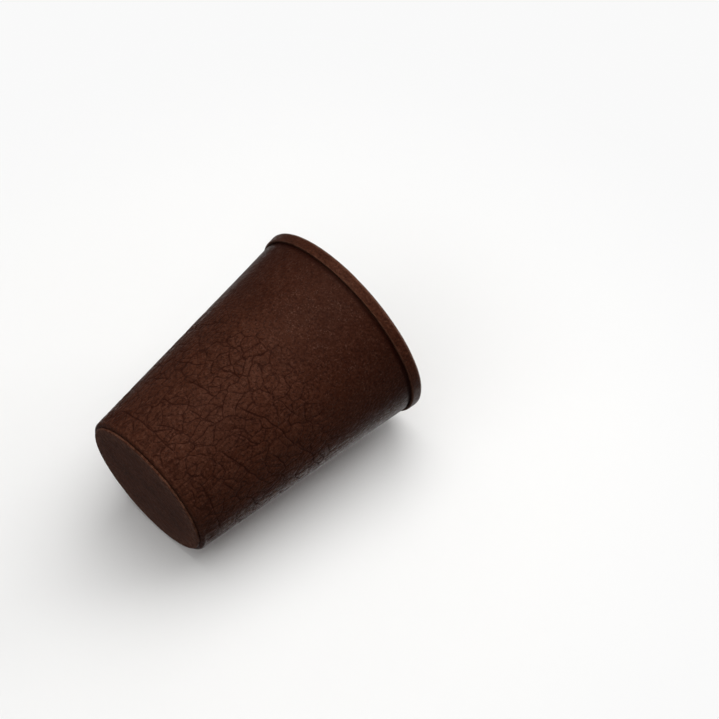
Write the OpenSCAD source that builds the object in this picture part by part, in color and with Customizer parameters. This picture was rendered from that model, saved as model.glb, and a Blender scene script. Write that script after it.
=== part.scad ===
// Leather dice cup, standing on its base with the mouth up.
// The base's underside is at z = 0, the cup's axis is Z, and the side seam faces +Y.
// Sizes are in millimetres. Every ring-shaped piece is a profile turned round the axis.

/* [Cup] */
// Height from the underside to the top of the rim
cup_h = 90; // [70:1:120]
// Outer diameter of the leather wall at the base
base_d = 52.5; // [44:0.5:62]
// Outer diameter of the leather wall, carried up to the height of the rim
mouth_d = 71.5; // [64:0.5:84]

/* [Stiff body] */
// Wall thickness of the rolled fibreboard cone
cone_t = 1.4; // [1:0.1:2]
// Thickness of the fibreboard base disc
base_board_t = 3.6; // [2.6:0.1:4.6]

/* [Leather] */
// Thickness of the leather wrap on the wall
wrap_t = 1.1; // [0.9:0.1:1.4]
// Thickness of the wrap's turned-in hem under the base
hem_t = 1; // [0.8:0.1:1.2]
// Width of the turned-in hem
hem_w = 9; // [6:0.5:12]
// Thickness of the leather disc under the base
base_leather_t = 0.9; // [0.7:0.1:1.2]
// How far the base disc stays inside the wall
base_leather_inset = 1.3; // [1:0.1:2.5]

/* [Side seam] */
// Width of the lapped seam
lap_w = 9; // [7:0.5:12]
// How far the lap's free edge stands above the wall
lap_lift = 0.5; // [0.3:0.1:0.7]
// Distance from the lap's free edge to the stitches
stitch_inset = 2.1; // [1.5:0.1:3]
// Length of one stitch
stitch_len = 2.4; // [1.8:0.1:2.6]
// Distance from one stitch to the next
stitch_pitch = 3.3; // [3:0.1:4.5]
// Thread diameter
thread_d = 0.8; // [0.6:0.1:1]

/* [Rim] */
// Height of the rim binding on the outside
collar_h = 4.2; // [3.5:0.1:6]
// Height of the rim binding on the inside
collar_in_h = 7.5; // [5:0.5:10]
// Thickness of the binding leather
binding_t = 0.9; // [0.7:0.1:1]
// Radius of the binding's two top corners
lip_r = 1.3; // [1.1:0.1:1.6]
// Depth of the crease pressed into the wrap below the binding
crease_depth = 0.45; // [0.2:0.05:0.6]
// Height of that crease
crease_h = 1.3; // [0.8:0.1:1.8]

/* [Lining] */
// Thickness of the suede lining on the wall
lining_t = 0.8; // [0.6:0.1:1.2]
// Thickness of the card under the floor pad
floor_card_t = 1; // [0.8:0.1:1.5]
// Thickness of the felt floor pad
floor_felt_t = 1.5; // [1:0.1:2.5]
// Gap where the ends of the lining and of the binding meet
butt_gap = 0.3; // [0.2:0.05:0.5]

/* [Hidden] */
$fn = 96;

leather_brown = [0.235, 0.125, 0.1];
binding_brown = [0.29, 0.185, 0.155];
thread_brown = [0.3, 0.17, 0.12];
suede_brown = [0.25, 0.16, 0.12];
board_grey = [0.55, 0.5, 0.43];

// The wall leans out by this much for each millimetre of height.
slope = (mouth_d - base_d) / 2 / cup_h;
lean = atan(slope);

// Heights of the layers, from the underside up
hem_z = base_leather_t;
cone_z = hem_z + hem_t;
card_z = hem_z + base_board_t;
felt_z = card_z + floor_card_t;
floor_z = felt_z + floor_felt_t;
wall_top_z = cup_h - binding_t;
collar_z = cup_h - collar_h;
collar_in_z = cup_h - collar_in_h;
hem_r = base_d / 2 - hem_w;

// Depths of the wall's layers behind the leather's outer face, measured square to the axis
cone_depth = wrap_t;
lining_depth = wrap_t + cone_t;
inner_depth = wrap_t + cone_t + lining_t;

// The lap's outer face is a cone that stands off the wall and is shifted off the axis, so that
// it rises from nothing on one side of the seam to lap_lift at the free edge.
lap_shift = lap_lift * (base_d + mouth_d) / 4 / lap_w;
lap_z = hem_z + 1.6;
lap_top_z = collar_z - crease_h - 0.1;

// Stitches run up the lap in one row.
stitch_x = stitch_inset - lap_w / 2;
stitch_start_z = lap_z + 2.6;
stitch_count = floor((lap_top_z - stitch_start_z - 1.5) / stitch_pitch);

corner_r = 1.2;
overcut = 1;

// Radius of the surface that lies depth behind the wall's outer face, at height z
function wall_r(z, depth = 0) = base_d / 2 + slope * z - depth;

// Distance from the axis plane to the lap's outer face, at height z and offset x from the seam
function lap_y(x, z) = sqrt(pow(wall_r(z) + lap_lift / 2, 2) - pow(x + lap_shift, 2));

// Half profile of a layer of the wall between two depths and two heights
module wall_layer(depth_out, depth_in, z_low, z_high)
    polygon([
        [wall_r(z_low, depth_in), z_low],
        [wall_r(z_low, depth_out), z_low],
        [wall_r(z_high, depth_out), z_high],
        [wall_r(z_high, depth_in), z_high]
    ]);

// Half profile of a disc whose edge follows the wall at the given depth
module disc_layer(depth, z_low, z_high)
    polygon([[0, z_low], [wall_r(z_low, depth), z_low], [wall_r(z_high, depth), z_high], [0, z_high]]);

// A round stitch lying up the wall, half sunk in the leather
module stitch(z)
    translate([stitch_x, lap_y(stitch_x, z) + thread_d / 16, z])
        rotate([-lean, 0, 0]) {
            reach = stitch_len - thread_d;
            translate([0, 0, -reach / 2]) cylinder(h = reach, d = thread_d, $fn = 24);
            for (end = [-1, 1]) translate([0, 0, end * reach / 2]) sphere(d = thread_d, $fn = 24);
        }

module stitches()
    for (i = [0 : stitch_count]) stitch(stitch_start_z + i * stitch_pitch);

// The gap where a strip's two ends meet over the seam
module butt_joint(z_low, z_high)
    translate([-butt_gap / 2, 0, z_low - overcut])
        cube([butt_gap, mouth_d, z_high - z_low + 2 * overcut]);

// Rolled fibreboard cone, open at both ends
module board_cone()
    color(board_grey)
        rotate_extrude() wall_layer(cone_depth, lining_depth, cone_z, wall_top_z);

// Fibreboard disc pressed into the cone, with a rebate for the wrap's hem
module board_base()
    color(board_grey)
        rotate_extrude()
            difference() {
                disc_layer(lining_depth, hem_z, card_z);
                translate([hem_r, hem_z - overcut]) square([hem_w, hem_t + overcut]);
            }

// Leather side panel: wall, turned-in hem, lapped seam, and the crease below the binding
module leather_wrap()
    color(leather_brown)
        difference() {
            union() {
                rotate_extrude() wrap_profile();
                seam_lap();
            }
            stitches();
        }

module wrap_profile() {
    corner_z = hem_z + corner_r;
    corner_x = wall_r(corner_z) - corner_r / cos(lean);
    difference() {
        union() {
            translate([corner_x, corner_z]) circle(corner_r);
            polygon([
                [hem_r, hem_z],
                [corner_x, hem_z],
                [corner_x, corner_z],
                [corner_x + corner_r * cos(lean), corner_z - corner_r * sin(lean)],
                [wall_r(wall_top_z), wall_top_z],
                [wall_r(wall_top_z, wrap_t), wall_top_z],
                [wall_r(cone_z, wrap_t), cone_z],
                [hem_r, cone_z]
            ]);
        }
        polygon([
            [wall_r(collar_z) + overcut, collar_z],
            [wall_r(collar_z, crease_depth), collar_z],
            [wall_r(collar_z, crease_depth), collar_z - crease_h / 3],
            [wall_r(collar_z - crease_h), collar_z - crease_h],
            [wall_r(collar_z) + overcut, collar_z - crease_h]
        ]);
    }
}

// The panel's outer end, which lies over its inner end
module seam_lap()
    intersection() {
        translate([-lap_shift, 0, lap_z])
            difference() {
                rise = lap_top_z - lap_z;
                low_r = wall_r(lap_z) + lap_lift / 2;
                cylinder(h = rise, r1 = low_r, r2 = low_r + slope * rise);
                translate([0, 0, -overcut])
                    cylinder(h = rise + 2 * overcut, r1 = low_r - wrap_t - slope * overcut,
                             r2 = low_r - wrap_t + slope * (rise + overcut));
            }
        translate([-lap_w / 2, 0, 0]) cube([lap_w, mouth_d, cup_h]);
    }

// One row of stitches through the lap
module seam_thread()
    color(thread_brown) stitches();

// Leather disc glued over the hem
module base_leather()
    color(leather_brown)
        rotate_extrude() {
            edge_r = 0.35;
            disc_r = base_d / 2 - base_leather_inset;
            translate([disc_r - edge_r, edge_r]) circle(edge_r, $fn = 32);
            square([disc_r - edge_r, base_leather_t]);
            translate([0, edge_r]) square([disc_r, base_leather_t - edge_r]);
        }

// Leather strip folded over the mouth: a collar outside, a shorter facing inside
module rim_binding()
    color(binding_brown)
        difference() {
            rotate_extrude() binding_profile();
            butt_joint(collar_in_z, cup_h);
        }

module binding_profile() {
    corner_z = cup_h - lip_r;
    outer_x = wall_r(corner_z, -binding_t) - lip_r / cos(lean);
    inner_x = wall_r(corner_z, inner_depth + binding_t) + lip_r / cos(lean);
    tangent = lip_r * [cos(lean), -sin(lean)];
    difference() {
        union() {
            translate([outer_x, corner_z]) circle(lip_r);
            translate([inner_x, corner_z]) circle(lip_r);
            polygon([
                [wall_r(collar_in_z, inner_depth + binding_t), collar_in_z],
                [wall_r(collar_in_z), collar_in_z],
                [wall_r(collar_z), collar_z],
                [wall_r(collar_z, -binding_t), collar_z],
                [outer_x, corner_z] + tangent,
                [outer_x, corner_z],
                [outer_x, cup_h],
                [inner_x, cup_h],
                [inner_x, corner_z],
                [inner_x, corner_z] - tangent
            ]);
        }
        wall_layer(0, inner_depth, collar_in_z - overcut, wall_top_z);
    }
}

// Suede lining of the wall
module wall_lining()
    color(suede_brown)
        difference() {
            rotate_extrude() wall_layer(lining_depth, inner_depth, card_z, wall_top_z);
            butt_joint(card_z, wall_top_z);
        }

// Card disc that holds the lining's lower edge down
module floor_card()
    color(board_grey)
        rotate_extrude() disc_layer(inner_depth, card_z, felt_z);

// Felt pad on the floor
module floor_felt()
    color(suede_brown)
        rotate_extrude() disc_layer(inner_depth, felt_z, floor_z);

board_cone();
board_base();
leather_wrap();
seam_thread();
base_leather();
rim_binding();
wall_lining();
floor_card();
floor_felt();
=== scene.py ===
"""Looks of the leather dice cup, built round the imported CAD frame. Units are metres."""
import math

import bmesh
import bpy
import numpy as np
from mathutils import Matrix, Vector, noise


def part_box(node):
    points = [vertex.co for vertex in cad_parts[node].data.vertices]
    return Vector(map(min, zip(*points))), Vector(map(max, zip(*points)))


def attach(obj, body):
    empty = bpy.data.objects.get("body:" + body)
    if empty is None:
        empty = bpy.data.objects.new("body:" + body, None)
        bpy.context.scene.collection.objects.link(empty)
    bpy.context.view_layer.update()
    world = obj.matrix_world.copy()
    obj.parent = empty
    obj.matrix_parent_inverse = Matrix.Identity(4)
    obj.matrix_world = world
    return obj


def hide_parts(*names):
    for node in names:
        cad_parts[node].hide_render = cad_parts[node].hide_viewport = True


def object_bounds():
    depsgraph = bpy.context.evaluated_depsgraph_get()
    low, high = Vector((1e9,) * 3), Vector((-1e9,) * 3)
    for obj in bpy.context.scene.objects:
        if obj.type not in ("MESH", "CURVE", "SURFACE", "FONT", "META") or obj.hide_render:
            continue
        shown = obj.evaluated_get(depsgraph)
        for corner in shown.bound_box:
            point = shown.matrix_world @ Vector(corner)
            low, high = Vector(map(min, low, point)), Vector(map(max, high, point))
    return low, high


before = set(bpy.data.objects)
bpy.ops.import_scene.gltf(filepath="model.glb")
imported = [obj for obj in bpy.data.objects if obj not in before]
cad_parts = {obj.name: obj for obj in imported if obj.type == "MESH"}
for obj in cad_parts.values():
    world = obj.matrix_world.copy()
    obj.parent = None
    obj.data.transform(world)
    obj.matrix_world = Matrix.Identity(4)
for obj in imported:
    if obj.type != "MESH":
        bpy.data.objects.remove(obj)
CAD_LOW, CAD_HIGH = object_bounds()
MM = 0.001

# noise_vector draws on Blender's random state, so a fixed seed makes every run the same.
PATTERN_SEED = 7
noise.seed_set(PATTERN_SEED)

# ---------------------------------------------------------------- sizes, read from the CAD frame


def low_z(node):
    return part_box(node)[0].z


def high_z(node):
    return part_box(node)[1].z


def half_width(node):
    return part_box(node)[1].x


HEM_Z = high_z("base_leather")
CONE_Z = low_z("board_cone")
CARD_Z = high_z("board_base")
FELT_Z = high_z("floor_card")
FLOOR_Z = high_z("floor_felt")
WALL_TOP_Z = high_z("board_cone")
CUP_H = high_z("rim_binding")
FACING_Z = low_z("rim_binding")
BINDING_T = CUP_H - WALL_TOP_Z

# The wall leans out along a line through the edges of the base board and of the lining's top.
SLOPE = (half_width("wall_lining") - half_width("board_base")) / (WALL_TOP_Z - CARD_Z)
LEAN = math.atan(SLOPE)
WRAP_T = half_width("leather_wrap") - half_width("board_cone")
CONE_T = half_width("board_cone") - half_width("wall_lining")
TOP_R = half_width("leather_wrap")
INNER_DEPTH = TOP_R - SLOPE * (WALL_TOP_Z - FLOOR_Z) - half_width("floor_felt")


def wall_r(z, depth=0.0):
    """Radius of the surface that lies depth behind the leather's outer face, at height z."""
    return TOP_R - SLOPE * (WALL_TOP_Z - z) - depth


def node_points(node):
    """A CAD node's vertices, as an array of positions."""
    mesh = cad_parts[node].data
    points = np.empty(len(mesh.vertices) * 3)
    mesh.vertices.foreach_get("co", points)
    return points.reshape(-1, 3)


def collar_foot():
    """Height of the lower edge of the binding's outer leg."""
    points = node_points("rim_binding")
    radius = np.hypot(points[:, 0], points[:, 1])
    proud = radius > wall_r(points[:, 2]) + BINDING_T / 2
    return float(points[proud, 2].min())


def stitch_heights():
    """The height of the middle of each stitch, spread evenly over the CAD thread's length."""
    first = low_z("seam_thread") + STITCH_LENGTH / 2
    last = high_z("seam_thread") - STITCH_LENGTH / 2
    return np.linspace(first, last, round((last - first) / STITCH_PITCH) + 1)


# The thread's stitches, and the lap that they hold: its free edge is on the side where x is negative.
STITCH_LENGTH = 2.4 * MM
STITCH_PITCH = 3.3 * MM
STITCHES = stitch_heights()
STITCH_X = (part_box("seam_thread")[0].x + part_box("seam_thread")[1].x) / 2
COLLAR_Z = collar_foot()
LAP_HALF = 4.5 * MM
LAP_LIFT = 0.5 * MM
LAP_EDGE = 0.16 * MM
SEAM_ANGLE = math.pi / 2


def lap_rise(seam_x):
    """How far the lap stands off the wall, at a distance of seam_x across the seam."""
    share = np.clip((LAP_HALF - seam_x) / (2 * LAP_HALF), 0, 1)
    past_edge = smoothstep(-seam_x, LAP_HALF, LAP_HALF + LAP_EDGE)
    return LAP_LIFT * share * (0.75 + 0.25 * share) * (1 - past_edge)


# ---------------------------------------------------------------- mesh helpers


def smoothstep(value, low, high):
    t = np.clip((value - low) / (high - low), 0.0, 1.0)
    return t * t * (3 - 2 * t)


def arc(centre_r, centre_z, radius, start, stop, steps):
    """Points along an arc of a profile, angles in degrees from the outward direction."""
    angles = np.radians(np.linspace(start, stop, steps))
    return [(centre_r + radius * math.cos(a), centre_z + radius * math.sin(a)) for a in angles]


def line(start, stop, steps):
    """Points from start towards stop, leaving stop out."""
    start, stop = np.array(start), np.array(stop)
    return [tuple(start + (stop - start) * i / steps) for i in range(steps)]


def wall_line(depth, start_z, stop_z, steps):
    return line((wall_r(start_z, depth), start_z), (wall_r(stop_z, depth), stop_z), steps)


def ring_faces(rings, columns, closed_rings, closed_columns):
    """Quads between the points of a grid whose index is ring * columns + column."""
    faces = []
    for ring in range(rings if closed_rings else rings - 1):
        upper = (ring + 1) % rings
        for column in range(columns if closed_columns else columns - 1):
            after = (column + 1) % columns
            faces.append((ring * columns + column, ring * columns + after,
                          upper * columns + after, upper * columns + column))
    return faces


def make_object(name, points, faces, attributes=None):
    """A smooth mesh object. attributes holds a number or a vector for each point, under each name."""
    mesh = bpy.data.meshes.new(name)
    mesh.from_pydata([tuple(p) for p in points], [], faces)
    mesh.validate()
    for key, values in (attributes or {}).items():
        values = np.asarray(values, dtype=np.float32)
        kind, field = ("FLOAT_VECTOR", "vector") if values.ndim > 1 else ("FLOAT", "value")
        mesh.attributes.new(key, kind, "POINT").data.foreach_set(field, values.ravel())
    mesh.polygons.foreach_set("use_smooth", [True] * len(mesh.polygons))
    mesh.update()
    made = bpy.data.objects.new(name, mesh)
    bpy.context.scene.collection.objects.link(made)
    return made


def add_piece(made, node, shader):
    """Lets a piece stand for a CAD node, with a finish of its own."""
    made.data.materials.append(shader)
    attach(made, "root")
    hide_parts(node)
    return made


def turned(profile, angles):
    """Grid of points of a profile turned round the axis. Angles may differ from ring to ring."""
    profile = np.array(profile)
    angles = np.broadcast_to(angles, (len(profile), np.shape(angles)[-1]))
    radius = np.broadcast_to(profile[:, :1], angles.shape)
    height = np.broadcast_to(profile[:, 1:], angles.shape)
    return radius.copy(), angles.copy(), height.copy()


def to_points(radius, angles, height):
    return np.stack([radius * np.cos(angles), radius * np.sin(angles), height], axis=-1).reshape(-1, 3)


def noise_at(points, size, seed=0.0):
    """Perlin noise from -1 to 1 at each point, with features of about the given size."""
    shift = Vector((seed * 7.31, seed * 3.17, seed * 5.77))
    return np.array([noise.noise(Vector(p) / size + shift) for p in points])


def wander(points, size, reach, seed):
    """The points pushed about by noise, so that patterns made from them aren't regular."""
    shift = Vector((seed, -seed, seed * 0.5))
    moved = [Vector(p) + noise.noise_vector(Vector(p) / size + shift) * reach for p in points]
    return np.array(moved)


# ---------------------------------------------------------------- leather wrap

WRAP_COLUMNS = 500
WRAP_ROWS = 168
# Where the columns beside the seam are, in millimetres across it: close together at the cut edge
NEAR_SEAM = np.concatenate([
    np.arange(-9.0, -5.0, 0.5),
    [-4.9, -4.72, -4.6, -4.52, -4.44, -4.34, -4.1, -3.8],
    np.arange(-3.5, -1.2, 0.2),
    np.arange(-1.0, 5.6, 0.4),
    [6.0, 6.6, 7.3, 8.1, 9.0],
])
CORE_R = wall_r(CUP_H / 2)
CORNER_R = 1.2 * MM
HEM_WIDTH = 9 * MM

# Creases: how high the foot's crease is, how far apart the long ones are, how many climb round the wall,
# and how many upright wrinkles there are
BASE_CREASE_Z = 8 * MM
LONG_CREASE_PITCH = 8.5 * MM
LONG_CREASES = 8
WRINKLES = 44

# The net of fine creases fades out between these heights. Its cells and the widths of lines, and what
# is added to a line's distance where it fades or is absent, are in millimetres, as in the finish.
CRACKLE_FROM = 0.50 * CUP_H
CRACKLE_TO = 0.80 * CUP_H
CELL = 3.9
NET_DEPTH = 0.11 * MM
NET_WIDTH = 0.42
FADE = 0.6
FAR_AWAY = 9.0

# Marks of the stitches and of the binding
HOLE_R = 0.42 * MM
HOLE_DEPTH = 0.3 * MM
CHANNEL_HALF = 0.6 * MM
CHANNEL_DEPTH = 0.14 * MM
PRESSED_DEPTH = 0.42 * MM
UNDER_BINDING = 0.05 * MM


def wrap_angles(profile):
    """Columns that run straight up beside the seam and spread evenly over the rest."""
    near = NEAR_SEAM * MM
    far = WRAP_COLUMNS - len(near)
    share = np.arange(1, far + 1) / (far + 1)
    rows = []
    for r, _ in profile:
        r = max(r, wall_r(0))
        start, stop = near[-1] / r, 2 * math.pi + near[0] / r
        rows.append(np.concatenate([near / r, start + share * (stop - start)]))
    return SEAM_ANGLE - np.array(rows)


def wrap_profile():
    """Closed outline of the wrap: up the outside, over the top edge, down inside, round the hem."""
    corner_z = HEM_Z + CORNER_R
    corner_r = wall_r(corner_z) - CORNER_R / math.cos(LEAN)
    tilt = math.degrees(LEAN)
    hem_r = wall_r(0) - HEM_WIDTH
    outline = arc(corner_r, corner_z, CORNER_R, -90, -tilt, 8)
    outer_start = len(outline)
    outline += wall_line(0, corner_z + 0.4 * MM, WALL_TOP_Z, WRAP_ROWS)
    outer_stop = len(outline)
    outline += [(wall_r(WALL_TOP_Z), WALL_TOP_Z)]
    outline += wall_line(WRAP_T, WALL_TOP_Z, CONE_Z, 4)
    outline += [(wall_r(CONE_Z, WRAP_T), CONE_Z), (hem_r, CONE_Z), (hem_r, HEM_Z)]
    return outline, outer_start, outer_stop


def groove(distance, width):
    """1 on a line, falling softly to 0 at about twice the width from it."""
    return np.exp(-(distance / width) ** 2)


def repeating(level, spacing):
    """Signed distance in millimetres to the nearest of a row of lines, at every whole level."""
    return np.sin(math.pi * level) * spacing / MM / math.pi


def faded(strength):
    """What to add to a line's distance, in millimetres, so that it thins out where it is weak."""
    return FADE * (1 - strength)


def leather_relief(angle, height, unrolled):
    """The wall's creases and swells: the offset in metres, and the patterns that its colour needs.

    unrolled is the way round the wall from the lap's cut edge, in metres.
    """
    flat = np.stack([CORE_R * np.cos(angle), CORE_R * np.sin(angle), height], axis=-1)
    tall = flat / np.array([1.0, 1.0, 2.4])
    turns = angle / (2 * math.pi)
    low = 1 - smoothstep(height, CRACKLE_FROM, CRACKLE_TO)
    lower = 1 - smoothstep(height, 0.30 * CUP_H, 0.60 * CUP_H)

    # The flat, bent space that the net of fine creases is drawn in. Its cells are tall and lean over.
    bend = wander(flat, 8 * MM, 1.8 * MM, 3.0) - flat
    bend += wander(flat, 2.6 * MM, 0.6 * MM, 13.0) - flat
    across = (unrolled + bend[:, 0] + bend[:, 1]) / MM
    up = (height + bend[:, 2]) / MM
    place = np.stack([across + 0.15 * up, up / 1.5 - 0.22 * across, np.zeros_like(up)], axis=-1)
    net = (0.72 + 0.28 * smoothstep(noise_at(flat, 7 * MM, 9.0), -0.5, 0.2)) * (0.25 + 0.75 * low)

    # Long creases that climb to the right as they go round
    drift = 2.2 * noise_at(flat, 13 * MM, 5.0) + 1.1 * noise_at(flat, 4 * MM, 15.0)
    level = (height + drift * MM) / LONG_CREASE_PITCH - LONG_CREASES * turns
    long_line = repeating(level, LONG_CREASE_PITCH)
    long_strength = smoothstep(noise_at(flat, 8 * MM, 19.0), -0.30, 0.15) * (0.10 + 0.90 * low)
    long_strength *= smoothstep(height, BASE_CREASE_Z, BASE_CREASE_Z + 3 * MM)

    # Upright wrinkles between them, in the lower half
    sway = 0.75 * noise_at(tall, 6 * MM, 25.0) + 0.25 * noise_at(flat, 3 * MM, 26.0)
    wrinkle_line = repeating(WRINKLES * turns + sway, 2 * math.pi * CORE_R / WRINKLES)
    wrinkle_strength = 0.85 * smoothstep(noise_at(tall, 4 * MM, 27.0), -0.25, 0.3) * lower

    # A crease round the foot, with short upright folds under it
    sag = 0.9 * noise_at(flat, 16 * MM, 4.0) + 0.35 * noise_at(flat, 3.5 * MM, 14.0)
    foot_line = (height - BASE_CREASE_Z) / MM - sag
    foot_strength = 0.35 + 0.65 * smoothstep(noise_at(flat, 9 * MM, 6.0), -0.4, 0.1)
    below = 1 - smoothstep(height, 0.75 * BASE_CREASE_Z, 1.1 * BASE_CREASE_Z)
    fold = groove(noise_at(flat / np.array([1.0, 1.0, 5.0]), 2.1 * MM, 7.0), 0.16) * below

    lines = {
        "long": (long_line, long_strength),
        "wrinkle": (wrinkle_line, wrinkle_strength),
        "foot": (foot_line, foot_strength),
    }
    patterns = {"place": place, "net": net, "fold": fold}
    depth = np.zeros_like(height)
    for key, (distance, strength) in lines.items():
        patterns[key + "_line"] = distance
        patterns[key + "_fade"] = faded(strength)
        depth = np.maximum(depth, 0.14 * strength * groove(distance, 0.45))
    swell = 0.07 * noise_at(flat, 20 * MM, 8.0)
    swell += 0.03 * noise_at(flat, 3.2 * MM, 28.0) * (0.3 + 0.7 * low)
    return (swell - depth - 0.05 * fold) * MM, patterns


def net_distances(made):
    """Distance in millimetres from each vertex to the net of fine creases that the finish draws."""
    group = bpy.data.node_groups.new("net", "GeometryNodeTree")
    for way in ("INPUT", "OUTPUT"):
        group.interface.new_socket("Geometry", in_out=way, socket_type="NodeSocketGeometry")
    given = group.nodes.new("NodeGroupInput")
    result = group.nodes.new("NodeGroupOutput")
    place = group.nodes.new("GeometryNodeInputNamedAttribute")
    place.data_type = "FLOAT_VECTOR"
    place.inputs["Name"].default_value = "place"
    cells = group.nodes.new("ShaderNodeTexVoronoi")
    cells.voronoi_dimensions = "2D"
    cells.feature = "DISTANCE_TO_EDGE"
    cells.inputs["Scale"].default_value = 1 / CELL
    store = group.nodes.new("GeometryNodeStoreNamedAttribute")
    store.inputs["Name"].default_value = "net_line"
    group.links.new(given.outputs[0], store.inputs["Geometry"])
    group.links.new(place.outputs[0], cells.inputs["Vector"])
    group.links.new(cells.outputs["Distance"], store.inputs["Value"])
    group.links.new(store.outputs[0], result.inputs[0])
    modifier = made.modifiers.new("net", "NODES")
    modifier.node_group = group
    evaluated = made.evaluated_get(bpy.context.evaluated_depsgraph_get())
    values = np.empty(len(made.data.vertices))
    evaluated.data.attributes["net_line"].data.foreach_get("value", values)
    made.modifiers.remove(modifier)
    bpy.data.node_groups.remove(group)
    return values * CELL


def seam_relief(seam_x, z):
    """The lap and its stitch row: the offset in metres, the panel's cut edge and the stitch holes."""
    clear = smoothstep(z, HEM_Z + 0.5 * MM, HEM_Z + 3 * MM)
    clear *= 1 - smoothstep(z, COLLAR_Z - 2.2 * MM, COLLAR_Z - 0.9 * MM)
    cut_edge = np.exp(-((seam_x + LAP_HALF + LAP_EDGE / 2) / LAP_EDGE) ** 2) * clear

    # The thread pulls a shallow channel into the lap, deepest where it goes through.
    hole = np.zeros_like(z)
    for middle in STITCHES:
        for end in (-0.5, 0.5):
            reach = (seam_x - STITCH_X) ** 2 + (z - middle - end * STITCH_LENGTH) ** 2
            hole = np.maximum(hole, np.exp(-reach / HOLE_R ** 2))
    channel = np.exp(-((seam_x - STITCH_X) / CHANNEL_HALF) ** 2)
    in_row = smoothstep(z, STITCHES[0] - 2 * MM, STITCHES[0])
    in_row *= 1 - smoothstep(z, STITCHES[-1], STITCHES[-1] + 2 * MM)
    offset = lap_rise(seam_x) * clear - CHANNEL_DEPTH * channel * in_row - HOLE_DEPTH * hole
    return offset, cut_edge, hole


def build_wrap():
    profile, start, stop = wrap_profile()
    radius, angles, height = turned(profile, wrap_angles(profile))
    outer = slice(start, stop)
    r, a, z = radius[outer], angles[outer], height[outer]
    seam_x = (SEAM_ANGLE - a) * r
    seam_x = np.where(seam_x > math.pi * r, seam_x - 2 * math.pi * r, seam_x)

    # The patterns start and end at the lap's cut edge.
    turn = SEAM_ANGLE - a
    turn = np.where(turn * r < -LAP_HALF - LAP_EDGE / 2, turn + 2 * math.pi, turn)
    flat_offset, patterns = leather_relief(a.ravel(), z.ravel(), turn.ravel() * CORE_R)
    seam_offset, patterns["edge"], patterns["hole"] = seam_relief(seam_x, z)
    offset = flat_offset.reshape(z.shape) + seam_offset

    # The binding presses a crease into the leather, and hides a level surface.
    pressed = smoothstep(z, COLLAR_Z - 1.5 * MM, COLLAR_Z - 0.35 * MM)
    offset -= PRESSED_DEPTH * pressed
    under = smoothstep(z, COLLAR_Z + 0.1 * MM, COLLAR_Z + 0.5 * MM)
    offset = offset * (1 - under) - UNDER_BINDING * under
    radius[outer] = r + offset

    attributes = {}
    for key, values in patterns.items():
        depth = np.shape(values)[-1:] if key == "place" else ()
        layer = np.full(radius.shape + depth, FAR_AWAY if key.endswith("line") else 0.0)
        layer[outer] = np.reshape(values, z.shape + depth)
        attributes[key] = layer.reshape((-1,) + depth)
    faces = ring_faces(*radius.shape, True, True)
    made = make_object("wrap", to_points(radius, angles, height), [f[::-1] for f in faces], attributes)

    # The net of fine creases is pressed in last.
    strength = smoothstep(attributes["net"], 0.3, 0.9).reshape(radius.shape)
    radius -= NET_DEPTH * strength * groove(net_distances(made), NET_WIDTH).reshape(radius.shape)
    made.data.vertices.foreach_set("co", to_points(radius, angles, height).ravel())
    made.data.update()
    return made


# ---------------------------------------------------------------- binding round the rim

GAP = 0.06 * MM
END_TURN_IN = 0.16 * MM
LIP_R = 1.3 * MM


def binding_profile():
    """Closed outline of the binding: up the collar, over the lip, down the facing and back inside.

    Also returns how many of its points lie on the part that shows.
    """
    tilt = math.degrees(LEAN)
    outer_r = wall_r(COLLAR_Z) + BINDING_T
    foot = 0.32 * MM
    top_z = CUP_H - LIP_R
    lip_out = wall_r(top_z) + BINDING_T - LIP_R / math.cos(LEAN)
    inner = INNER_DEPTH + BINDING_T
    lip_in = wall_r(top_z, inner) + LIP_R / math.cos(LEAN)
    outline = [(wall_r(COLLAR_Z), COLLAR_Z)]
    outline += arc(outer_r - foot, COLLAR_Z + foot, foot, -90, -tilt, 6)
    outline += line((wall_r(COLLAR_Z + 0.5 * MM, -BINDING_T), COLLAR_Z + 0.5 * MM),
                    (wall_r(top_z, -BINDING_T), top_z), 9)
    outline += arc(lip_out, top_z, LIP_R, -tilt, 90, 12)
    outline += line((lip_out - 0.3 * MM, CUP_H), (lip_in, CUP_H), 9)
    outline += arc(lip_in, top_z, LIP_R, 90, 180 - tilt, 12)
    outline += wall_line(inner, top_z - 0.3 * MM, FACING_Z + 0.5 * MM, 18)
    outline += arc(wall_r(FACING_Z, inner) + 0.3 * MM, FACING_Z + 0.3 * MM, 0.3 * MM, 180, 270, 5)
    shown = len(outline)
    outline += wall_line(INNER_DEPTH, FACING_Z, WALL_TOP_Z, 4)
    outline += line((wall_r(WALL_TOP_Z, INNER_DEPTH), WALL_TOP_Z), (wall_r(WALL_TOP_Z), WALL_TOP_Z), 4)
    outline += wall_line(0, WALL_TOP_Z, COLLAR_Z, 3)
    return outline, shown


def outward(profile):
    """Unit directions pointing out of a closed outline, for each of its points."""
    points = np.array(profile)
    along = np.roll(points, -1, axis=0) - np.roll(points, 1, axis=0)
    normals = np.stack([along[:, 1], -along[:, 0]], axis=-1)
    return normals / np.linalg.norm(normals, axis=1, keepdims=True)


def swollen(profile, angles, offset, free):
    """A turned outline, moved out by offset where free says so. All are grids or rows of one."""
    radius, angles, height = turned(profile, angles)
    normals = outward(profile)
    offset = offset * np.reshape(free, (-1, 1))
    return radius + offset * normals[:, :1], angles, height + offset * normals[:, 1:]


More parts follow.
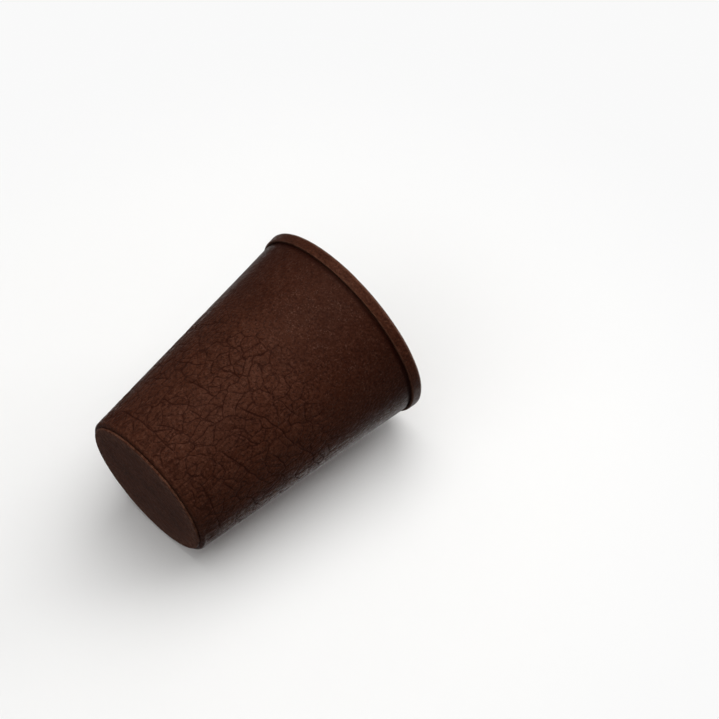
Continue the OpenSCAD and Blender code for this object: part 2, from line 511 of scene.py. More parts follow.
def open_ring(name, profile, columns, relief, free):
    """A strip wrapped round the axis, whose two ends nearly meet over the seam."""
    half_gap = GAP / 2 / wall_r(CUP_H)
    angles = SEAM_ANGLE + np.linspace(half_gap, 2 * math.pi - half_gap, columns)
    base = to_points(*turned(profile, angles))
    offset = relief(base).reshape(len(profile), columns)
    radius, angles, height = swollen(profile, angles, offset, free)

    # The cut ends turn in a little, so that the joint shows as a line.
    ends = np.minimum(np.arange(columns), np.arange(columns)[::-1])
    turn_in = END_TURN_IN * np.exp(-ends / 1.2) * np.reshape(free, (-1, 1))
    normals = outward(profile)
    radius -= turn_in * normals[:, :1]
    height -= turn_in * normals[:, 1:]

    faces = ring_faces(len(profile), columns, True, False)
    starts = np.arange(len(profile)) * columns
    faces.append(tuple(int(i) for i in starts))
    faces.append(tuple(int(i) for i in (starts + columns - 1)[::-1]))
    return face_outwards(make_object(name, to_points(radius, angles, height), faces))


def face_outwards(made):
    """Makes all faces of a closed mesh point outwards."""
    mesh = bmesh.new()
    mesh.from_mesh(made.data)
    bmesh.ops.recalc_face_normals(mesh, faces=mesh.faces)
    mesh.to_mesh(made.data)
    mesh.free()
    return made


def build_binding():
    profile, shown = binding_profile()
    free = (np.arange(len(profile)) > 0) & (np.arange(len(profile)) < shown)

    def relief(points):
        slow = noise_at(points, 9 * MM, 21.0)
        fine = noise_at(points, 1.6 * MM, 22.0)
        return (0.05 * slow - 0.05 + 0.018 * fine) * MM

    return open_ring("binding", profile, 560, relief, free)


# ---------------------------------------------------------------- lining, base leather, floor pad


def lining_profile():
    outline = wall_line(CONE_T + WRAP_T, CARD_Z, WALL_TOP_Z, 6)
    outline += [(wall_r(WALL_TOP_Z, CONE_T + WRAP_T), WALL_TOP_Z)]
    outline += wall_line(INNER_DEPTH, WALL_TOP_Z, CARD_Z, 150)
    outline += [(wall_r(CARD_Z, INNER_DEPTH), CARD_Z)]
    return outline


def build_lining():
    profile = lining_profile()
    heights = np.array([p[1] for p in profile])
    radii = np.array([p[0] for p in profile])
    shown = radii < wall_r(heights, INNER_DEPTH) + 1e-6
    free = shown * smoothstep(heights, FLOOR_Z, FLOOR_Z + 3 * MM)
    free = free * (1 - smoothstep(heights, FACING_Z - 1.5 * MM, FACING_Z))

    def relief(points):
        slow = noise_at(points, 14 * MM, 31.0)
        nap = noise_at(points, 2.6 * MM, 32.0)
        return (0.11 * slow - 0.02 + 0.04 * nap) * MM

    return open_ring("lining", profile, 420, relief, free)


def disc(name, radius, low, high, relief, edge_r, columns, step):
    """A round pad with soft edges, whose faces carry the given relief. Its rings are a step apart."""
    inner = radius - edge_r
    rings = max(3, round(inner / step))
    spread = [inner * (i + 1) / rings for i in range(rings)]
    profile = [(r, low) for r in spread]
    profile += arc(inner, low + edge_r, edge_r, -90, 0, 5)[1:]
    profile += arc(inner, high - edge_r, edge_r, 0, 90, 5)[:-1]
    profile += [(r, high) for r in reversed(spread)]
    angles = np.linspace(0, 2 * math.pi, columns, endpoint=False)
    points = to_points(*turned(profile, angles))
    points = np.concatenate([points, [[0, 0, low], [0, 0, high]]])
    level = np.sign(points[:, 2] - (low + high) / 2)
    points[:, 2] += relief(points, level > 0)
    faces = ring_faces(len(profile), columns, False, True)
    last = (len(profile) - 1) * columns
    for column in range(columns):
        after = (column + 1) % columns
        faces.append((len(points) - 2, after, column))
        faces.append((len(points) - 1, last + column, last + after))
    return face_outwards(make_object(name, points, faces))


def build_base_leather():
    def relief(points, on_top):
        worn = noise_at(points, 9 * MM, 41.0) * 0.05 + noise_at(points, 1.8 * MM, 42.0) * 0.03
        return np.where(on_top, 0, np.clip(worn + 0.03, 0, 0.12)) * MM

    return disc("base_disc", half_width("base_leather"), 0.0, HEM_Z, relief,
                edge_r=0.35 * MM, columns=280, step=0.55 * MM)


def build_felt():
    def relief(points, on_top):
        fuzz = noise_at(points, 6 * MM, 51.0) * 0.1 + noise_at(points, 0.9 * MM, 52.0) * 0.08
        return np.where(on_top, fuzz - 0.05, 0) * MM

    return disc("felt_pad", half_width("floor_felt"), FELT_Z, FLOOR_Z, relief,
                edge_r=0.5 * MM, columns=260, step=0.5 * MM)


# ---------------------------------------------------------------- seam thread

THREAD_R = 0.4 * MM
STITCH_SINK = 0.10 * MM
STITCH_DIVE = 0.16 * MM


def build_thread():
    """Short stitches of twisted two-ply thread, whose ends dive into the leather."""
    rings, columns = 34, 20
    points, faces = [], []
    along = Vector((0, math.sin(LEAN), math.cos(LEAN)))
    out = Vector((0, math.cos(LEAN), -math.sin(LEAN)))
    side = Vector((1, 0, 0))
    for number, height in enumerate(STITCHES):
        reach = wall_r(height) + float(lap_rise(STITCH_X)) - STITCH_SINK
        middle = Vector((STITCH_X, math.sqrt(reach ** 2 - STITCH_X ** 2), height))
        first = len(points)
        for ring in range(rings):
            t = ring / (rings - 1) * 2 - 1
            taper = math.sqrt(max(0.0, 1 - abs(t) ** 5)) * 0.98 + 0.02
            dive = -STITCH_DIVE * abs(t) ** 3
            centre = middle + along * (t * STITCH_LENGTH / 2) + out * dive
            for column in range(columns):
                angle = 2 * math.pi * column / columns
                ply = 0.80 + 0.20 * abs(math.cos(angle - t * 4.6 + number * 0.7))
                fibre = 1 + 0.03 * math.sin(9 * angle + 21 * t)
                thick = THREAD_R * taper * ply * fibre
                across = side * math.cos(angle) + out * math.sin(angle)
                points.append(centre + across * thick)
        faces += [tuple(first + i for i in face) for face in ring_faces(rings, columns, False, True)]
        faces.append(tuple(first + i for i in range(columns)))
        faces.append(tuple(first + (rings - 1) * columns + i for i in range(columns)))
    return face_outwards(make_object("thread", points, faces))


# ---------------------------------------------------------------- finishes


class Finish:
    """A procedural material. Its patterns use object coordinates, in millimetres."""

    def __init__(self, name):
        self.material = bpy.data.materials.new(name)
        self.material.use_nodes = True
        self.tree = self.material.node_tree
        self.shader = self.tree.nodes["Principled BSDF"]
        place = self.node("ShaderNodeTexCoord")
        scaled = self.node("ShaderNodeVectorMath", operation="SCALE")
        self.tree.links.new(place.outputs["Object"], scaled.inputs[0])
        scaled.inputs["Scale"].default_value = 1 / MM
        self.mm = scaled.outputs[0]

    def node(self, kind, **settings):
        made = self.tree.nodes.new(kind)
        for key, value in settings.items():
            setattr(made, key, value)
        return made

    def put(self, socket, value):
        """Sets a socket to a constant, or links it if the value comes from another node."""
        if isinstance(value, bpy.types.NodeSocket):
            self.tree.links.new(value, socket)
        else:
            socket.default_value = value

    def stretched(self, x, y, z):
        """The millimetre coordinates, scaled along each axis."""
        made = self.node("ShaderNodeVectorMath", operation="MULTIPLY")
        self.put(made.inputs[0], self.mm)
        made.inputs[1].default_value = (x, y, z)
        return made.outputs[0]

    def noise(self, size, detail=3.0, coords=None, distortion=0.0, rough=0.55):
        made = self.node("ShaderNodeTexNoise")
        self.put(made.inputs["Vector"], coords or self.mm)
        made.inputs["Scale"].default_value = 1 / size
        made.inputs["Detail"].default_value = detail
        made.inputs["Roughness"].default_value = rough
        made.inputs["Distortion"].default_value = distortion
        return made.outputs[0]

    def warped(self, size, reach, coords=None):
        """The coordinates pushed about by up to about reach, in millimetres."""
        made = self.node("ShaderNodeTexNoise")
        self.put(made.inputs["Vector"], coords or self.mm)
        made.inputs["Scale"].default_value = 1 / size
        centred = self.node("ShaderNodeVectorMath", operation="SUBTRACT")
        self.put(centred.inputs[0], made.outputs["Color"])
        centred.inputs[1].default_value = (0.5, 0.5, 0.5)
        moved = self.node("ShaderNodeVectorMath", operation="MULTIPLY_ADD")
        self.put(moved.inputs[0], centred.outputs[0])
        moved.inputs[1].default_value = (2 * reach, 2 * reach, 2 * reach)
        self.put(moved.inputs[2], coords or self.mm)
        return moved.outputs[0]

    def cells(self, size, feature="F1", coords=None, dimensions="3D"):
        made = self.node("ShaderNodeTexVoronoi", feature=feature, voronoi_dimensions=dimensions)
        self.put(made.inputs["Vector"], coords or self.mm)
        made.inputs["Scale"].default_value = 1 / size
        return made.outputs["Distance"]

    def height(self):
        """The height above the cup's underside, in millimetres."""
        split = self.node("ShaderNodeSeparateXYZ")
        self.put(split.inputs[0], self.mm)
        return split.outputs["Z"]

    def painted(self, attribute, output="Fac"):
        """A pattern that the mesh carries."""
        return self.node("ShaderNodeAttribute", attribute_name=attribute).outputs[output]

    def line(self, distance, fade, width):
        """1 along a line and 0 beyond the given width, in millimetres."""
        reach = self.math("ADD", self.math("ABSOLUTE", distance, 0.0), fade)
        return self.falling(reach, 0.0, width)

    def ramp(self, value, low, high, start=0.0, stop=1.0):
        """Goes smoothly from start to stop as the value goes from low to high."""
        made = self.node("ShaderNodeMapRange", interpolation_type="SMOOTHSTEP")
        settings = {"Value": value, "From Min": low, "From Max": high, "To Min": start, "To Max": stop}
        for key, item in settings.items():
            self.put(made.inputs[key], item)
        return made.outputs[0]

    def falling(self, value, low, high):
        """1 where the value is below low, and 0 where it is above high."""
        return self.ramp(value, low, high, 1.0, 0.0)

    def inverse(self, mask):
        return self.falling(mask, 0.0, 1.0)

    def pebbles(self, size, warp_size, warp_reach):
        """Small rounded bumps, as on leather."""
        return self.falling(self.cells(size, "SMOOTH_F1", self.warped(warp_size, warp_reach)), 0.1, 0.75)

    def math(self, operation, a, b):
        made = self.node("ShaderNodeMath", operation=operation)
        self.put(made.inputs[0], a)
        self.put(made.inputs[1], b)
        return made.outputs[0]

    def mix(self, factor, a, b):
        made = self.node("ShaderNodeMix", data_type="RGBA")
        # The node has sockets for each type of data: A and B for colours are numbers 6 and 7.
        self.put(made.inputs[0], factor)
        self.put(made.inputs[6], a)
        self.put(made.inputs[7], b)
        return made.outputs[2]

    def over(self, colour, mask, amount, shade):
        """The colour with a shade laid over it where the mask is, as strongly as amount says."""
        return self.mix(self.math("MULTIPLY", mask, amount), colour, shade)

    def bump(self, height, distance, under=None):
        """A bump of the given height in millimetres, on top of another bump."""
        made = self.node("ShaderNodeBump")
        self.put(made.inputs["Height"], height)
        made.inputs["Distance"].default_value = distance * MM
        if under is not None:
            self.put(made.inputs["Normal"], under)
        return made.outputs[0]

    def set(self, **values):
        """Sets the shader's sockets. Names are lower case, with _ for spaces."""
        for socket in self.shader.inputs:
            key = socket.name.lower().replace(" ", "_")
            if key in values:
                self.put(socket, values.pop(key))
        if values:
            raise ValueError(f"no shader sockets {sorted(values)}")
        return self.material


def tint(red, green, blue):
    """Shader colour for a display colour given as 0 to 255."""
    def linear(shade):
        return ((shade / 255 + 0.055) / 1.055) ** 2.4 if shade > 10 else shade / 255 / 12.92

    return linear(red), linear(green), linear(blue), 1.0


# The wrap's colours, and what the leather pieces share: dark creases, also used as painted shade, scuffs
# and a warm sheen
LEATHER = tint(57, 26, 14)
LEATHER_DARK = tint(45, 19, 10)
LEATHER_LIGHT = tint(80, 48, 36)
# Painted glints: light flecks that stand for glints of light on the upper wall's grain
PAINTED_GLINT = tint(98, 70, 59)
CREASE_AND_SHADE = tint(34, 9, 4)
SCUFFED = tint(112, 78, 62)
WARM = tint(255, 200, 172)
IOR = 1.45


def wrap_tones(f, place, low):
    """The leather's colour without its creases, and the fine cracks in it."""
    # Broad patches, a tone for each cell of the net, then worn high spots and dark grain
    patches = f.ramp(f.noise(17.0, 4.0), 0.35, 0.68)
    colour = f.mix(f.math("MULTIPLY", patches, 0.6), LEATHER, LEATHER_DARK)
    cell = f.node("ShaderNodeTexVoronoi", voronoi_dimensions="2D")
    f.put(cell.inputs["Vector"], place)
    cell.inputs["Scale"].default_value = 1 / CELL
    tone = f.math("MULTIPLY", cell.outputs["Color"], 0.3)
    colour = f.over(colour, tone, low, LEATHER_LIGHT)
    worn = f.ramp(f.noise(1.1, 4.0, rough=0.75), 0.46, 0.68)
    colour = f.over(colour, worn, 0.65, LEATHER_LIGHT)
    grain = f.falling(f.noise(0.8, 3.0, f.stretched(1.0, 1.0, 0.8), rough=0.7), 0.36, 0.52)
    colour = f.over(colour, grain, 0.8, CREASE_AND_SHADE)

    # Fine cracks inside the cells
    fine = f.cells(1.9, "DISTANCE_TO_EDGE", f.warped(2.5, 0.8, f.stretched(1.0, 1.0, 0.75)))
    some = f.ramp(f.noise(5.0, 2.0), 0.44, 0.62)
    cracks = f.math("MULTIPLY", f.falling(fine, 0.0, 0.09), some)
    cracks = f.math("MULTIPLY", cracks, f.ramp(low, 0.0, 1.0, 0.35, 1.0))
    colour = f.over(colour, cracks, 0.35, CREASE_AND_SHADE)

    # The upper wall is darker, and its speckle, light and dark, is stronger: the light flecks are
    # painted glints on the grain
    colour = f.mix(f.ramp(low, 0.0, 1.0, 0.32, 0.0), colour, CREASE_AND_SHADE)
    painted_glints = f.ramp(f.noise(0.45, 1.0), 0.56, 0.72)
    painted_glints = f.math("MULTIPLY", painted_glints, f.ramp(f.noise(3.0, 3.0), 0.40, 0.62))
    upper = f.ramp(low, 0.0, 0.9, 0.55, 0.25)
    colour = f.over(colour, painted_glints, upper, PAINTED_GLINT)
    pits = f.falling(f.noise(0.9, 3.0, f.stretched(0.6, 0.6, 1.5)), 0.30, 0.42)
    return f.over(colour, pits, 0.7, CREASE_AND_SHADE), cracks


def wrap_creases(f, place):
    """How dark the net of fine creases, the longer creases and the foot's folds make each point."""
    ragged = f.math("MULTIPLY", f.math("SUBTRACT", f.noise(1.1, 3.0), 0.5), 0.3)
    fade = f.math("ADD", f.ramp(f.painted("net"), 0.0, 1.0, FADE, 0.0), ragged)
    distance = f.math("MULTIPLY", f.cells(CELL, "DISTANCE_TO_EDGE", place, "2D"), CELL)
    crease = f.math("MULTIPLY", f.line(distance, fade, 0.36), 0.8)
    for key, width, dark in (("long", 0.48, 0.95), ("wrinkle", 0.42, 0.8), ("foot", 0.48, 0.95)):
        fade = f.math("ADD", f.painted(key + "_fade"), ragged)
        drawn = f.line(f.painted(key + "_line"), fade, width)
        crease = f.math("MAXIMUM", crease, f.math("MULTIPLY", drawn, dark))
    return f.math("MAXIMUM", crease, f.math("MULTIPLY", f.painted("fold"), 0.5))


def wrap_finish():
    """Matte brown leather, crackled over the lower wall and pebbled towards the rim."""
    f = Finish("wrap_leather")
    place = f.painted("place", "Vector")
    low = f.falling(f.height(), CRACKLE_FROM / MM, CRACKLE_TO / MM)
    colour, cracks = wrap_tones(f, place, low)
    crease = wrap_creases(f, place)
    colour = f.mix(crease, colour, CREASE_AND_SHADE)

    # The leather is darker towards the binding, and darkest in the ragged groove under it, where the
    # dark is painted shade under the binding's edge
    under = f.math("SUBTRACT", COLLAR_Z / MM, f.height())
    colour = f.mix(f.ramp(under, 2.0, 14.0, 0.28, 0.0), colour, CREASE_AND_SHADE)
    under = f.math("ADD", under, f.math("MULTIPLY", f.noise(1.4, 4.0, rough=0.7), 3.0))
    colour = f.mix(f.ramp(under, 2.6, 3.7, 0.85, 0.0), colour, CREASE_AND_SHADE)

    # So are the cut edge of the lap, and the stitch holes, whose dark is painted shade
    colour = f.mix(f.ramp(f.painted("edge"), 0.2, 0.9, 0.0, 0.6), colour, CREASE_AND_SHADE)
    colour = f.mix(f.ramp(f.painted("hole"), 0.3, 0.9, 0.0, 0.7), colour, CREASE_AND_SHADE)

    normal = f.bump(f.pebbles(0.85, 1.2, 0.25), 0.11)
    normal = f.bump(f.noise(0.5, 4.0, rough=0.65), 0.10, normal)
    normal = f.bump(f.noise(1.5, 4.0, rough=0.6), 0.12, normal)
    normal = f.bump(f.noise(3.4, 3.0), 0.12, normal)
    normal = f.bump(f.inverse(cracks), 0.10, normal)
    normal = f.bump(f.inverse(crease), 0.06, normal)
    rough = f.ramp(f.noise(1.3, 4.0, rough=0.65), 0.34, 0.66, 0.44, 0.66)
    rough = f.math("ADD", rough, f.math("MULTIPLY", crease, 0.25))
    return f.set(base_color=colour, roughness=rough, normal=normal, specular_ior_level=0.16, ior=IOR,
                 specular_tint=WARM)


def binding_finish():
    """The smoother, slightly lighter leather that binds the rim."""
    f = Finish("binding_leather")
    along = f.stretched(1.0, 1.0, 1.6)
    patches = f.ramp(f.noise(7.0, 4.0, along), 0.35, 0.66)
    colour = f.mix(f.math("MULTIPLY", patches, 0.6), tint(64, 32, 20), tint(50, 24, 14))
    worn = f.ramp(f.noise(1.5, 4.0, along, rough=0.65), 0.50, 0.72)
    colour = f.over(colour, worn, 0.6, tint(90, 56, 42))
    grain = f.falling(f.noise(0.8, 4.0, rough=0.75), 0.36, 0.53)
    colour = f.over(colour, grain, 0.75, CREASE_AND_SHADE)
    pores = f.falling(f.cells(0.8, "F1", f.warped(1.0, 0.25)), 0.08, 0.2)
    colour = f.over(colour, pores, 0.35, CREASE_AND_SHADE)

    # Painted highlights: lighter along the lower edge and over the outer corner of the lip, where the
    # rounded edges catch the light
    edge = f.falling(f.height(), COLLAR_Z / MM, (COLLAR_Z + 0.5 * MM) / MM)
    corner = f.math("SUBTRACT", f.height(), (CUP_H - 0.7 * MM) / MM)
    corner = f.ramp(f.math("ABSOLUTE", corner, 0.0), 0.1, 0.7, 0.6, 0.0)
    wear_and_highlight = f.ramp(f.noise(3.0, 4.0), 0.3, 0.6, 0.3, 0.9)
    wear_and_highlight = f.math("MULTIPLY", f.math("MAXIMUM", edge, corner), wear_and_highlight)
    colour = f.over(colour, wear_and_highlight, 0.6, tint(106, 72, 57))

    creases = f.cells(1.5, "DISTANCE_TO_EDGE", f.warped(2.0, 0.6, f.stretched(1.0, 1.0, 0.7)))
    creases = f.math("MULTIPLY", f.falling(creases, 0.0, 0.1), f.ramp(f.noise(4.0), 0.42, 0.6))
    colour = f.over(colour, creases, 0.4, CREASE_AND_SHADE)
    normal = f.bump(f.pebbles(0.7, 1.0, 0.2), 0.09)
    normal = f.bump(f.noise(0.45, 4.0, rough=0.6), 0.08, normal)
    normal = f.bump(f.inverse(pores), 0.04, normal)
    normal = f.bump(f.inverse(creases), 0.06, normal)
    normal = f.bump(f.noise(2.4, 3.0, along), 0.12, normal)
    rough = f.ramp(f.noise(2.0, 3.0), 0.3, 0.7, 0.46, 0.6)
    return f.set(base_color=colour, roughness=rough, normal=normal, specular_ior_level=0.16, ior=IOR,
                 specular_tint=WARM)


def base_finish():
    """Plain leather of the underside, scuffed where it rubs on tables."""
    f = Finish("base_leather")
    colour = f.mix(f.ramp(f.noise(9.0, 5.0), 0.35, 0.7), tint(76, 42, 30), tint(58, 29, 19))
    worn = f.ramp(f.noise(1.1, 4.0, rough=0.75), 0.46, 0.68)
    colour = f.over(colour, worn, 0.6, tint(98, 62, 47))
    grain = f.falling(f.noise(0.8, 3.0, rough=0.7), 0.36, 0.52)
    colour = f.over(colour, grain, 0.7, CREASE_AND_SHADE)

    # Rubbed near the edge that the cup stands on, and scratched all over
    reach = f.node("ShaderNodeVectorMath", operation="LENGTH")
    f.put(reach.inputs[0], f.stretched(1.0, 1.0, 0.0))
    edge = half_width("base_leather") / MM
    wear_and_highlight = f.ramp(reach.outputs["Value"], 0.72 * edge, 0.96 * edge, 0.1, 0.75)
    wear_and_highlight = f.math("MULTIPLY", wear_and_highlight, f.ramp(f.noise(1.8, 5.0, rough=0.7), 0.40, 0.66))
    colour = f.mix(wear_and_highlight, colour, SCUFFED)
    scuffs = f.noise(1.4, 5.0, f.stretched(0.35, 1.6, 1.0), 0.6, 0.7)
    colour = f.mix(f.ramp(scuffs, 0.58, 0.76, 0.0, 0.5), colour, SCUFFED)
    pores = f.falling(f.cells(0.9, "F1", f.warped(1.0, 0.3)), 0.08, 0.24)
    colour = f.over(colour, pores, 0.5, CREASE_AND_SHADE)
    normal = f.bump(f.pebbles(0.8, 1.2, 0.2), 0.09)
    normal = f.bump(f.noise(0.5, 4.0, rough=0.65), 0.08, normal)
    normal = f.bump(f.noise(2.8, 4.0), 0.14, normal)
    rough = f.ramp(scuffs, 0.35, 0.75, 0.55, 0.74)
    return f.set(base_color=colour, roughness=rough, normal=normal, specular_ior_level=0.14, ior=IOR,
                 specular_tint=WARM)


def suede_finish():
    """Brown suede: short nap, brushed in soft patches."""
    f = Finish("suede_lining")
    brushed = f.ramp(f.noise(9.0, 4.0, f.stretched(1.0, 1.0, 0.6), 0.8), 0.30, 0.70)
    colour = f.mix(brushed, tint(92, 61, 46), tint(80, 51, 37))
    nap = f.noise(0.42, 4.0, f.stretched(1.0, 1.0, 0.55), rough=0.7)
    colour = f.mix(f.ramp(nap, 0.42, 0.72, 0.0, 0.55), colour, tint(112, 78, 60))
    normal = f.bump(nap, 0.12)
    normal = f.bump(f.noise(1.6, 4.0), 0.10, normal)
    return f.set(base_color=colour, roughness=0.94, normal=normal, specular_ior_level=0.15, ior=IOR,
                 sheen_weight=0.35, sheen_roughness=0.45, sheen_tint=tint(170, 128, 104))


def felt_finish():
    """Dark brown felt: matted fibres in all directions."""
    f = Finish("felt")
    fibres = f.noise(0.7, 5.0, f.stretched(1.0, 0.35, 1.0), 2.2, 0.7)
    crossing = f.noise(0.7, 5.0, f.stretched(0.35, 1.0, 1.0), 2.6, 0.7)
    mat = f.math("MAXIMUM", fibres, crossing)
    colour = f.mix(f.ramp(mat, 0.45, 0.75), tint(58, 36, 27), tint(96, 64, 49))
    colour = f.mix(f.ramp(f.noise(8.0, 3.0), 0.4, 0.7, 0.0, 0.3), colour, tint(48, 29, 22))
    normal = f.bump(mat, 0.22)
    normal = f.bump(f.noise(2.0, 3.0), 0.12, normal)
    return f.set(base_color=colour, roughness=0.96, normal=normal, specular_ior_level=0.12, ior=IOR,
                 sheen_weight=0.4, sheen_roughness=0.5, sheen_tint=tint(150, 112, 90))


def thread_finish():
    """Waxed dark brown thread."""
    f = Finish("thread")
    colour = f.mix(f.ramp(f.noise(0.35, 4.0), 0.35, 0.7), tint(46, 26, 19), tint(88, 60, 46))
    normal = f.bump(f.noise(0.14, 3.0), 0.03)
    return f.set(base_color=colour, roughness=0.5, normal=normal, specular_ior_level=0.4, ior=1.48)


def board_finish(name, light, dark, fleck):
    """Pressed fibre board or card: a mat of short fibres with flecks."""
    f = Finish(name)
    mat = f.noise(0.8, 6.0, f.stretched(1.0, 1.0, 0.4), 1.4, 0.7)
    colour = f.mix(f.ramp(mat, 0.35, 0.7), dark, light)
    flecks = f.falling(f.cells(1.6, "F1", f.warped(1.0, 0.5)), 0.08, 0.2)
    colour = f.over(colour, flecks, 0.5, fleck)
    normal = f.bump(mat, 0.08)
    rough = f.ramp(mat, 0.3, 0.7, 0.85, 0.93)
    return f.set(base_color=colour, roughness=rough, normal=normal, specular_ior_level=0.2, ior=IOR)


# ---------------------------------------------------------------- the pieces

add_piece(build_wrap(), "leather_wrap", wrap_finish())
add_piece(build_binding(), "rim_binding", binding_finish())
add_piece(build_base_leather(), "base_leather", base_finish())
add_piece(build_lining(), "wall_lining", suede_finish())
add_piece(build_felt(), "floor_felt", felt_finish())
add_piece(build_thread(), "seam_thread", thread_finish())

FIBREBOARD = board_finish("fibreboard", tint(150, 122, 92), tint(108, 84, 60), tint(78, 58, 42))
CARD = board_finish("card", tint(142, 138, 130), tint(110, 106, 98), tint(84, 80, 74))
for node, shader, slot in (
    ("board_cone", FIBREBOARD, "fibreboard"),
    ("board_base", FIBREBOARD, "fibreboard"),
    ("floor_card", CARD, "card"),
):
    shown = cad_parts[node]
    shown.data.materials.clear()
    shown.data.materials.append(shader)


# ---------------------------------------------------------------- floor, light and camera

# In the photograph the cup lies on its side, so the frame's upright cup is seen from a tilted camera.
# It rests on the line of its wall that is REST_LINE_ANGLE round from +X.
CAMERA_ELEVATION = math.radians(-18.36)
CAMERA_ROLL = math.radians(49.37)
CAMERA_DISTANCE = 1.005
CAMERA_LENS = 145.6
CAMERA_SENSOR = 36.0
CAMERA_REACH = 20.0
REST_LINE_ANGLE = math.radians(59.6)
AIM = Vector((0.358 * CAD_HIGH.x, 0.946 * CAD_HIGH.x, 1.063 * CAD_HIGH.z))

# How bright the backdrop is, how far the floors reach from the cup in metres, between which distances
# in millimetres they blend into the backdrop, and the lamps' colour
BACKDROP = 0.95
FLOOR_HALF = 3.0
FLOOR_BLEND = (90.0, 200.0)
LAMP_SHADE = (1.0, 0.995, 0.985)


def grey(level):
    return level, level, level, 1


def pale(name, centre, level, lit):
    """Plain pale paper, seen from its front only so that no view of the cup is blocked by it.

    Near the cup it takes light and shadow. Further off it blends into the even tone of the backdrop.
    """
    f = Finish(name)
    colour = f.mix(f.noise(60.0, 2.0), (lit, lit, lit * 0.995, 1), grey(lit * 0.985))
    f.set(base_color=colour, roughness=0.9, specular_ior_level=0.0)
    glow = f.node("ShaderNodeEmission")
    f.put(glow.inputs["Color"], grey(level))
    reach = f.node("ShaderNodeVectorMath", operation="DISTANCE")
    f.put(reach.inputs[0], f.mm)
    reach.inputs[1].default_value = tuple(Vector(centre) / MM)
    far = f.ramp(reach.outputs["Value"], *FLOOR_BLEND)
    blend = f.node("ShaderNodeMixShader")
    f.put(blend.inputs[0], far)
    f.put(blend.inputs[1], f.shader.outputs[0])
    f.put(blend.inputs[2], glow.outputs[0])
    side = f.node("ShaderNodeNewGeometry").outputs["Backfacing"]
    clear = f.node("ShaderNodeBsdfTransparent")
    either = f.node("ShaderNodeMixShader")
    f.put(either.inputs[0], side)
    f.put(either.inputs[1], blend.outputs[0])
    f.put(either.inputs[2], clear.outputs[0])
    f.put(f.tree.nodes["Material Output"].inputs["Surface"], either.outputs[0])
    return f.material


def hide_from_light(thing):
    """Stops a thing on the stage from blocking or reflecting light."""
    thing.visible_diffuse = False
    thing.visible_glossy = False
    thing.visible_transmission = False
    thing.visible_shadow = False


def add_floor(name, centre, normal, lit):
    """A large square floor that receives shadows, but neither blocks nor reflects light."""
    turn = Vector(normal).to_track_quat("Z", "Y").to_matrix().to_4x4()
    corners = [(-1, -1), (1, -1), (1, 1), (-1, 1)]
    points = [Vector(centre) + turn @ Vector((x, y, 0)) * FLOOR_HALF for x, y in corners]
    floor = make_object(name, points, [(0, 1, 2, 3)])
    floor.data.materials.append(pale(name, centre, BACKDROP, lit))
    hide_from_light(floor)


def add_lamp(name, towards, distance, size, power):
    """A soft square lamp, that far from the cup along a direction, and aimed at it."""
    centre = (CAD_LOW + CAD_HIGH) / 2
    direction = Vector(towards).normalized()
    light = bpy.data.lights.new(name, "AREA")
    light.size = size
    light.energy = power
    light.color = LAMP_SHADE
    lamp = bpy.data.objects.new(name, light)
    lamp.location = centre + direction * distance
    lamp.rotation_euler = direction.to_track_quat("Z", "Y").to_euler()
    lamp.visible_camera = False
    bpy.context.scene.collection.objects.link(lamp)


def add_world(level):
    """Dim even light from all round."""
    world = bpy.data.worlds.new("studio")
    world.use_nodes = True
    background = world.node_tree.nodes["Background"]
    background.inputs["Color"].default_value = grey(1.0)
    background.inputs["Strength"].default_value = level
    bpy.context.scene.world = world


def add_backdrop(radius, level):
    """A plain pale dome behind everything. It shows, but gives the cup no light."""
    columns, rings = 64, 33
    turns = np.linspace(0.02, math.pi - 0.02, rings)
    profile = [(radius * math.sin(t), -radius * math.cos(t)) for t in turns]
    angles = np.linspace(0, 2 * math.pi, columns, endpoint=False)
    faces = ring_faces(rings, columns, False, True)
    dome = make_object("backdrop", to_points(*turned(profile, angles)), faces)
    f = Finish("backdrop")
    shade = f.mix(f.noise(900.0, 1.0), grey(level), grey(level * 0.98))
    f.set(base_color=(0, 0, 0, 1), emission_color=shade, emission_strength=1.0, specular_ior_level=0.0)
    dome.data.materials.append(f.material)
    hide_from_light(dome)


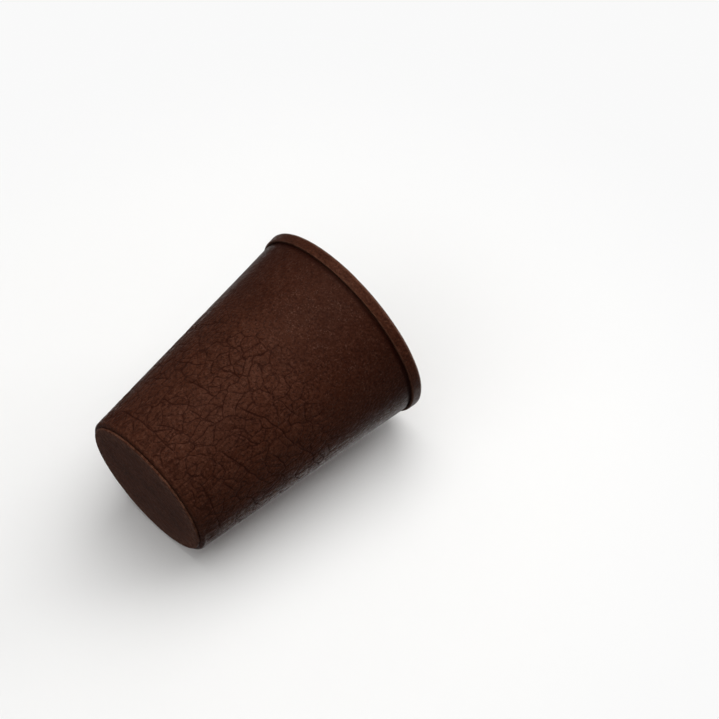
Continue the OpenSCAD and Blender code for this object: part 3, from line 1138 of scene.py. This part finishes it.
def add_camera():
    back = Vector((0, -math.cos(CAMERA_ELEVATION), math.sin(CAMERA_ELEVATION)))
    level_right = Vector((1, 0, 0))
    level_up = back.cross(level_right)
    right = math.cos(CAMERA_ROLL) * level_right + math.sin(CAMERA_ROLL) * level_up
    up = math.cos(CAMERA_ROLL) * level_up - math.sin(CAMERA_ROLL) * level_right
    data = bpy.data.cameras.new("camera")
    data.lens = CAMERA_LENS
    data.sensor_width = CAMERA_SENSOR
    data.clip_end = CAMERA_REACH
    camera = bpy.data.objects.new("camera", data)
    camera.matrix_world = Matrix((
        (right.x, up.x, back.x, AIM.x + back.x * CAMERA_DISTANCE),
        (right.y, up.y, back.y, AIM.y + back.y * CAMERA_DISTANCE),
        (right.z, up.z, back.z, AIM.z + back.z * CAMERA_DISTANCE),
        (0, 0, 0, 1),
    ))
    bpy.context.scene.collection.objects.link(camera)
    bpy.context.scene.camera = camera
    return right, up


def lying_floor():
    """Where the floor under the lying cup is: it touches the base's corner and the collar."""
    outward_line = Vector((math.cos(REST_LINE_ANGLE), math.sin(REST_LINE_ANGLE), 0))
    collar_z = COLLAR_Z + 2 * MM
    collar_r = wall_r(collar_z) + BINDING_T
    base_z = HEM_Z + CORNER_R
    lean = math.atan((collar_r - wall_r(base_z)) / (collar_z - base_z))
    normal = -(outward_line * math.cos(lean) - Vector((0, 0, math.sin(lean))))
    touch = outward_line * collar_r + Vector((0, 0, collar_z))
    return touch - normal * 0.1 * MM, normal


RIGHT, UP = add_camera()
TOUCH, FLOOR_NORMAL = lying_floor()
UNDER_CUP = TOUCH - Vector((0, 0, 0.5 * CUP_H))
UNDER_CUP -= FLOOR_NORMAL * FLOOR_NORMAL.dot(UNDER_CUP - TOUCH)
add_floor("lying_floor", UNDER_CUP, FLOOR_NORMAL, 0.83)
add_floor("upright_floor", (0, 0, CAD_LOW.z - 0.2 * MM), (0, 0, 1), 0.67)
add_backdrop(4.5, BACKDROP)
add_lamp("key", FLOOR_NORMAL + UP * 0.30 + RIGHT * 0.22, 1.7, 1.9, 30)
add_lamp("fill", (-0.3, -0.8, -0.6), 1.8, 2.0, 12)
add_lamp("top", (0.15, -0.1, 1.0), 1.6, 1.6, 22)
add_lamp("behind", (0.1, 1.0, 0.65), 1.7, 2.0, 26)
add_world(0.17)
bpy.context.scene.view_settings.view_transform = "Standard"
